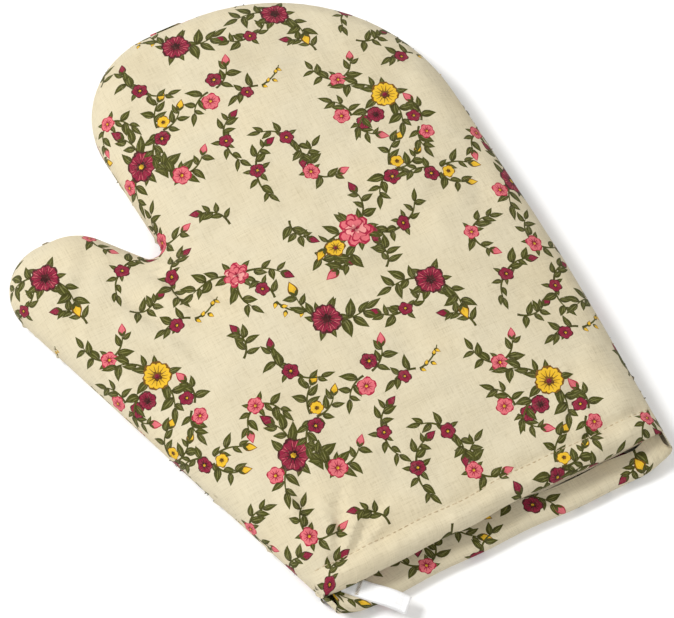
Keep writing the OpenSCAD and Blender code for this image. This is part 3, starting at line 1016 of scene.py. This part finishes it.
def printed_cotton():
    material, tree, shader = new_material("printed_cotton")
    flat = node(tree, "ShaderNodeAttribute", attribute_name="flat").outputs["Vector"]
    ink = node(tree, "ShaderNodeAttribute", attribute_name="ink").outputs["Fac"]
    place = node(tree, "ShaderNodeAttribute", attribute_name="petal").outputs["Vector"]
    height, tone = weave(tree, flat, 0.62)

    # Undyed ground: a warm cream, a little yellower in soft patches.
    ground = ramp(tree, noise(tree, flat, 0.016), [
        (0.30, (0.625, 0.545, 0.375)), (0.50, (0.650, 0.580, 0.420)), (0.70, (0.680, 0.590, 0.405)),
    ])
    threads = ramp(tree, tone, [
        (0.0, (0.80, 0.785, 0.75)), (0.42, (0.95, 0.945, 0.93)), (1.0, (1.0, 1.0, 1.0)),
    ])
    cloth = mix(tree, "MULTIPLY", None, ground, threads)

    # Inks: a flat colour for each shape, then streaks from the base of a petal or leaf.
    scaled = maths(tree, "MULTIPLY_ADD", ink, 1 / 16, 0.5 / 16)
    colours = ramp(tree, scaled, [(k / 16, c) for k, c in INK_COLOURS], "CONSTANT")
    stretched = node(tree, "ShaderNodeVectorMath", {0: place}, operation="MULTIPLY", in_1=(1.1, 3.2, 7.0))
    streaks = noise(tree, stretched.outputs[0], 1.6, 3.0, 0.6)
    along = node(tree, "ShaderNodeSeparateXYZ", {0: place}).outputs["X"]
    paler = maths(tree, "MULTIPLY_ADD", along, 0.45, -0.22)
    shade = ramp(tree, maths(tree, "ADD", paler, streaks), [
        (0.22, (0.52, 0.46, 0.48)), (0.45, (0.95, 0.93, 0.93)),
        (0.62, (1.0, 1.0, 1.0)), (0.85, (1.0, 1.0, 1.0)),
    ])
    drawn = mix(tree, "MULTIPLY", None, colours, shade)
    worn = ramp(tree, tone, [(0.2, (0.09, 0.09, 0.09)), (0.5, (0.0, 0.0, 0.0)), (1.0, (0.03, 0.03, 0.03))])
    faded = mix(tree, "MIX", worn, drawn, cloth)
    inked = maths(tree, "GREATER_THAN", ink, 0.5)
    tree.links.new(mix(tree, "MIX", inked, cloth, faded), shader.inputs["Base Color"])

    rough = ramp(tree, tone, [(0.0, (0.93, 0.93, 0.93)), (1.0, (0.80, 0.80, 0.80))])
    tree.links.new(rough, shader.inputs["Roughness"])
    shader.inputs["Specular IOR Level"].default_value = 0.08
    shader.inputs["Sheen Weight"].default_value = 0.06
    shader.inputs["Sheen Roughness"].default_value = 0.5
    crumple = noise(tree, flat, 0.16, 4.0, 0.55)
    soft = node(tree, "ShaderNodeBump", {"Height": crumple}, in_Strength=0.5, in_Distance=0.0011)
    over_soft = {"Height": height, "Normal": soft.outputs["Normal"]}
    fine = node(tree, "ShaderNodeBump", over_soft, in_Strength=0.55, in_Distance=0.00018)
    tree.links.new(fine.outputs["Normal"], shader.inputs["Normal"])
    return material


def plain_cloth(name, low, high, pitch, bump, roughness=0.88, sheen=0.25):
    """Plain cotton, tape or thread, with its own weave."""
    material, tree, shader = new_material(name)
    flat = node(tree, "ShaderNodeAttribute", attribute_name="flat").outputs["Vector"]
    height, tone = weave(tree, flat, pitch)
    both = maths(tree, "MULTIPLY", noise(tree, flat, 0.05), tone)
    colour = ramp(tree, both, [(0.08, low), (0.45, high)])
    tree.links.new(colour, shader.inputs["Base Color"])
    rough = ramp(tree, tone, [(0.0, (roughness + 0.06,) * 3), (1.0, (roughness - 0.06,) * 3)])
    tree.links.new(rough, shader.inputs["Roughness"])
    shader.inputs["Specular IOR Level"].default_value = 0.25
    shader.inputs["Sheen Weight"].default_value = sheen
    fine = node(tree, "ShaderNodeBump", {"Height": height}, in_Strength=0.6, in_Distance=bump)
    tree.links.new(fine.outputs["Normal"], shader.inputs["Normal"])
    return material


cotton = printed_cotton()
lining_cotton = plain_cloth("lining_cotton", (0.62, 0.53, 0.38), (0.76, 0.68, 0.52), 0.8, 0.0002)
tape_cotton = plain_cloth("cotton_tape", (0.84, 0.84, 0.84), (0.94, 0.94, 0.94), 0.5, 0.00008)
# The seam thread's orange-brown is partly the thread's own colour and partly painted shade, standing in for
# the crease it lies in.
seam_thread_crease_shade = plain_cloth("seam_thread_crease_shade", (0.36, 0.17, 0.055), (0.56, 0.32, 0.13), 0.4, 0.0001, 0.6, 0.1)
hem_thread = plain_cloth("hem_thread", (0.40, 0.31, 0.19), (0.58, 0.48, 0.32), 0.4, 0.0001, 0.85, 0.0)


# ---------------------------------------------------------------- putting pieces together


def vertex_normals(points, tris):
    n = np.cross(points[tris[:, 1]] - points[tris[:, 0]], points[tris[:, 2]] - points[tris[:, 0]])
    total = np.zeros_like(points)
    for k in range(3):
        np.add.at(total, tris[:, k], n)
    return total / np.maximum(np.linalg.norm(total, axis=1), 1e-12)[:, None]


def split_pieces(prefix, flat, tris, shapes, points, pr, material, side, seed):
    """Cuts one panel into its pieces, which share places and normals along their cuts."""
    tris = np.array(tris)
    centres = flat[tris].mean(axis=1)
    tris = tris if side > 0 else tris[:, ::-1]
    normals = vertex_normals(points, tris)
    cloth = flat_to_cloth(flat)
    region = region_of(centres)
    if prefix.startswith("back"):
        region[(region == "cuff_left") | (region == "cuff_right")] = "palm"
    made = {}
    inks = np.array([0] + list(pr.inks)) if pr else np.array([0])
    for name in sorted(set(region)):
        mine = np.where(region == name)[0]
        used, local = np.unique(tris[mine], return_inverse=True)
        local = local.reshape(-1, 3)
        obj = make_object(f"{prefix}_{name}", points[used] / 1000, local, material)
        mesh = obj.data
        coords = np.column_stack([cloth[used], np.full(len(used), seed, float)])
        put(mesh, "flat", "FLOAT_VECTOR", "POINT", coords)
        uv = mesh.uv_layers.new(name="OFBake")
        span = np.array([flat[used].min(axis=0), flat[used].max(axis=0)])
        scale = (span[1] - span[0]).max() * 1.02
        per_corner = (flat[used][local.ravel()] - span[0]) / scale + 0.01
        uv.data.foreach_set("uv", per_corner.astype(np.float32).ravel())
        if pr:
            put(mesh, "ink", "FLOAT", "FACE", inks[shapes[mine] + 1])
            petal = np.zeros((len(mine), 3, 3), np.float32)
            for i, k in enumerate(shapes[mine]):
                if k < 0:
                    continue
                origin, direction, length, width = pr.frames[k]
                away = cloth[tris[mine[i]]] - origin
                petal[i, :, 0] = away @ direction / length
                petal[i, :, 1] = (away[:, 1] * direction[0] - away[:, 0] * direction[1]) / width
                petal[i, :, 2] = (k * 0.37) % 5
            put(mesh, "petal", "FLOAT_VECTOR", "CORNER", petal)
        mesh.normals_split_custom_set_from_vertices([tuple(v) for v in normals[used]])
        made[name] = obj
    return made


def attach(name, obj):
    """Fixes a palm piece to the palm's body; the other pieces only get their placement baked into their
    meshes.
    """
    if name == "cuff_left":
        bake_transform(obj)
    elif name == "cuff_right":
        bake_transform(obj)
    elif name == "fingers":
        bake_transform(obj)
    elif name == "thumb":
        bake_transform(obj)
    else:
        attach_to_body(obj, "palm")


def node_names(layer, front, name):
    side = "front" if front else "back"
    part = "cuff" if name.startswith("cuff") else name
    return f"{side}_{layer}_{part}"


# How far each panel's cloth runs on past y = 0, to roll over the rim and turn in.
FRONT_LOW, BACK_LOW = -8.0, -16.5
# How far each print is moved, so that front and back differ.
FRONT_SHIFT, BACK_SHIFT = (0, 0), (40, 55)


def outer_panel(front, pr, step, low, moved, seed):
    """One printed panel, in its pieces; the model's shell and wadding parts for it are hidden."""
    flat, tris, shapes = build_panel(front, pr, step, low)
    points = lift(flat, front, moved)
    prefix = "front_panel" if front else "back_panel"
    pieces = split_pieces(prefix, flat, tris, shapes, points, pr, cotton, 1 if front else -1, seed)
    for name, obj in pieces.items():
        attach(name, obj)
        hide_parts(node_names("shell", front, name), node_names("wadding", front, name))


front_shift = simulate(True)
outer_panel(True, floral(FRONT_SHIFT, 21), STEP, FRONT_LOW, front_shift, 0.0)
outer_panel(False, floral(BACK_SHIFT, 77), STEP * 1.3, BACK_LOW, None, 50.0)

for front in (True, False):
    side = "front" if front else "back"
    flat, tris, shapes = build_panel(front, None, 5.0, 12.0 if not front else 20.0)
    points = inner_lift(flat, front)
    name, facing = f"{side}_lining_cloth", -1 if front else 1
    pieces = split_pieces(name, flat, tris, shapes, points, None, lining_cotton, facing, 90.0)
    for name, obj in pieces.items():
        attach(name, obj)
        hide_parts(node_names("lining", front, name))
        size = [(max(c) - min(c)) for c in zip(*[v.co[:2] for v in obj.data.vertices])]
        area = sum(p.area for p in obj.data.polygons)
        area = min(max(area, 0.31 * size[0] * size[1]), size[0] * size[1])


# ---------------------------------------------------------------- threads and the loop


def tube(path, radius, sides=6, closed=False):
    """A round thread along a path; radius is a number or one for each point."""
    path = np.array(path, float)
    n = len(path)
    radius = np.broadcast_to(radius, (n,))
    verts, faces = [], []
    for i in range(n):
        ahead = path[(i + 1) % n] if closed else path[min(i + 1, n - 1)]
        behind = path[(i - 1) % n] if closed else path[max(i - 1, 0)]
        t = ahead - behind
        t = t / (np.linalg.norm(t) + 1e-9)
        side = np.cross(t, [0, 0, 1.0])
        side = side / (np.linalg.norm(side) + 1e-9)
        up = np.cross(side, t)
        for k in range(sides):
            a = 2 * math.pi * k / sides
            verts.append(path[i] + radius[i] * (math.cos(a) * side + math.sin(a) * up))
    for i in range(n if closed else n - 1):
        j = (i + 1) % n
        for k in range(sides):
            m = (k + 1) % sides
            faces.append((i * sides + k, i * sides + m, j * sides + m, j * sides + k))
    if not closed:
        faces.append(tuple(range(sides))[::-1])
        faces.append(tuple((n - 1) * sides + k for k in range(sides)))
    return verts, faces


def thread_object(name, runs, material):
    verts, faces = [], []
    for v, f in runs:
        base = len(verts)
        verts += v
        faces += [tuple(base + i for i in face) for face in f]
    obj = make_object(name, np.array(verts) / 1000, faces, material)
    put(obj.data, "flat", "FLOAT_VECTOR", "POINT", verts)
    return obj


def seam_runs():
    """The seam's thread in the crease between the panels, sorted by the piece it is on; its orange-brown
    colour is partly the thread's own and partly painted shade of the crease.
    """
    line = inset_line(0.02, 0.9)
    line = line[line[:, 1] > 2.0]
    gap = np.linalg.norm(np.diff(line, axis=0), axis=1)
    line = np.roll(line, -(int(np.argmax(gap)) + 1), axis=0) if gap.max() > 20 else line
    points = lift(line, True)
    points[:, 2] = SEAM_Z
    region = region_of(line)
    region[(region == "cuff_left") | (region == "cuff_right")] = "palm"
    along = np.arange(len(line)) * 0.9
    radius = 0.55 + 0.16 * np.cos(along * 2 * math.pi / 2.7)
    runs = {}
    start = 0
    for i in range(1, len(line) + 1):
        if i == len(line) or region[i] != region[start]:
            if i - start > 2:
                stop = min(i + 1, len(line))
                runs.setdefault(region[start], []).append(tube(points[start:stop], radius[start:stop]))
            start = i
    return runs


# The seam thread tubes, whose orange-brown is partly painted shade of the crease.
for name, runs in seam_runs().items():
    obj = thread_object(f"seam_thread_crease_shade_{name}", runs, seam_thread_crease_shade)
    attach(name, obj)
    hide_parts(f"seam_stitching_{name}")


def hem_stitches(front, xs, shift):
    runs = []
    for x in xs:
        line_x = np.linspace(x, x + 2.3, 6)
        s = rim_of(front, line_x) + HEM_ROW
        path = lift(np.stack([line_x, s], 1), front, shift)
        rise = np.array([-0.25, 0.12, 0.22, 0.22, 0.12, -0.25])
        path[:, 2] += rise if front else -rise
        runs.append(tube(path, 0.24))
    return runs


left_x = np.arange(-85, -3, 3.0)
right_x = np.arange(0.5, 80, 3.0)
for name, xs in (("cuff_left", left_x), ("cuff_right", right_x)):
    obj = thread_object(f"hem_stitches_{name}", hem_stitches(True, xs, front_shift), hem_thread)
    attach(name, obj)
    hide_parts("front_hem_stitching")
obj = thread_object("hem_stitches_back", hem_stitches(False, np.arange(-80, 80, 3.0), None), hem_thread)
obj.data.transform(Matrix.Translation((0, 0, 0.0003)))
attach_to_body(obj, "palm")
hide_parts("back_hem_stitching")

# The hanging loop: one length of tape, folded in half and sewn in at its two ends.
TAPE_AIM = np.array([0.694658, -0.719340])
TAPE_SIDE = np.array([0.719340, 0.694658])
LOOP_AT = np.array([-68.9516, 5.0214])
TAPE_WIDTH, TAPE_THICK, LOOP_OUT, LOOP_IN = 8.0, 0.7, 19.0, 10.5


def tape_line():
    """Distance along the tape's direction, height and sideways swing, down one ply and back up the other."""
    out = []
    for t in np.linspace(-LOOP_IN, LOOP_OUT - 1.2, 22):
        drop = 0.032 * max(t - 6, 0) ** 2
        out.append((t, 10.1 - drop * 0.62, 0.10 * max(t, 0) * 0.3))
    base = 10.1 - 0.62 * 0.032 * (LOOP_OUT - 7.2) ** 2
    for a in np.linspace(-math.pi / 2 + 0.4, math.pi / 2 - 0.4, 7):
        out.append((LOOP_OUT - 1.2 + 1.2 * math.cos(a), base + 0.9 + 0.9 * math.sin(a), 0.55))
    for t in np.linspace(LOOP_OUT - 1.4, -LOOP_IN, 22):
        drop = 0.032 * max(t - 6, 0) ** 2
        belly = 0.35 * math.exp(-(((t - 12) / 6.5) ** 2))
        out.append((t, 11.15 - drop * 0.55 + belly, 0.10 * max(t, 0) * 0.3 + 0.5 * belly))
    return np.array(out)


def tape_object():
    line = tape_line()
    across = np.linspace(-0.5, 0.5, 7)
    verts, coords, faces = [], [], []
    n = len(line)
    heading = np.gradient(line[:, :2], axis=0)
    heading /= np.linalg.norm(heading, axis=1)[:, None]
    along = np.concatenate([[0], np.cumsum(np.linalg.norm(np.diff(line[:, :2], axis=0), axis=1))])
    for layer in (0.5, -0.5):
        for i in range(n):
            t, z, swing = line[i]
            for u in across:
                cup = 0.16 * (1 - (2 * u) ** 2)
                off = -heading[i][1] * TAPE_THICK * layer, heading[i][0] * TAPE_THICK * layer
                flat_at = LOOP_AT + TAPE_AIM * (t + off[0]) + TAPE_SIDE * (u * TAPE_WIDTH + swing)
                verts.append((flat_at[0], flat_at[1], z + off[1] + cup))
                coords.append((u * TAPE_WIDTH, along[i], layer))
    m = len(across)
    size = n * m
    for i in range(n - 1):
        for k in range(m - 1):
            a = i * m + k
            faces.append((a, a + m, a + m + 1, a + 1))
            b = size + a
            faces.append((b, b + 1, b + m + 1, b + m))
    for i in range(n - 1):
        for k in (0, m - 1):
            a, b = i * m + k, (i + 1) * m + k
            quad = (a, b, size + b, size + a)
            faces.append(quad[::-1] if k == 0 else quad)
    for i in (0, n - 1):
        for k in range(m - 1):
            a = i * m + k
            quad = (a, a + 1, size + a + 1, size + a)
            faces.append(quad[::-1] if i == 0 else quad)
    obj = make_object("hanging_loop_tape", np.array(verts) / 1000, faces, tape_cotton)
    put(obj.data, "flat", "FLOAT_VECTOR", "POINT", coords)
    return obj, float(along[-1])


loop, loop_length = tape_object()
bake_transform(loop)
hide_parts("hanging_loop", "loop_sewn_end")

# The bar tack: a close zigzag of thread across both plies of the tape.
tack = []
for k in range(12):
    u = (k / 11 - 0.5) * (TAPE_WIDTH - 1.0)
    a = LOOP_AT + TAPE_AIM * -4.4 + TAPE_SIDE * u
    b = LOOP_AT + TAPE_AIM * -2.9 + TAPE_SIDE * (u + 0.3)
    tack += [(a[0], a[1], 11.95), (b[0], b[1], 11.95)]
obj = thread_object("bar_tack", [tube(tack, 0.2)], hem_thread)
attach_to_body(obj, "palm")
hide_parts("loop_bar_tack")


# ---------------------------------------------------------------- floor, light and camera

# The floor is just under the stitches that the mitt rests on.
FLOOR_Z = -0.0004
floor_corners = [(x, y, FLOOR_Z) for x, y in ((-6, -6), (6, -6), (6, 6), (-6, 6))]
floor = make_object("floor", floor_corners, [(0, 1, 2, 3)], None)
floor_material, _, floor_shader = new_material("floor_paper")
floor_shader.inputs["Base Color"].default_value = (0.93, 0.93, 0.93, 1)
floor_shader.inputs["Roughness"].default_value = 0.9
floor.data.materials.append(floor_material)

scene = bpy.context.scene
world = bpy.data.worlds.new("studio")
world.use_nodes = True
world.node_tree.nodes["Background"].inputs["Color"].default_value = (1.0, 0.99, 0.97, 1)
world.node_tree.nodes["Background"].inputs["Strength"].default_value = 0.50
scene.world = world


def area_light(name, place, target, size, power, colour=(1, 1, 1)):
    data = bpy.data.lights.new(name, "AREA")
    data.size, data.energy, data.color = size, power, colour
    light = bpy.data.objects.new(name, data)
    light.location = place
    light.rotation_mode = "QUATERNION"
    light.rotation_quaternion = (Vector(target) - Vector(place)).to_track_quat("-Z", "Y")
    scene.collection.objects.link(light)
    return light


area_light("key", (-0.85, 0.75, 1.35), (-0.03, 0.14, 0), 0.55, 23.5)
area_light("fill", (0.2, -0.9, 1.7), (-0.03, 0.14, 0), 1.3, 11)

camera_data = bpy.data.cameras.new("camera")
camera_data.lens = 134.2
camera_data.sensor_width = 36
camera_data.clip_start, camera_data.clip_end = 0.05, 50
camera = bpy.data.objects.new("camera", camera_data)
camera.location = (-0.2304, -0.2888, 1.0667)
aim = Vector((-0.0180, 0.1360, 0.0)) - camera.location
camera.rotation_mode = "QUATERNION"
camera.rotation_quaternion = aim.to_track_quat("-Z", "Y")
scene.collection.objects.link(camera)
scene.camera = camera
scene.view_settings.view_transform = "Standard"
scene.view_settings.look = "None"
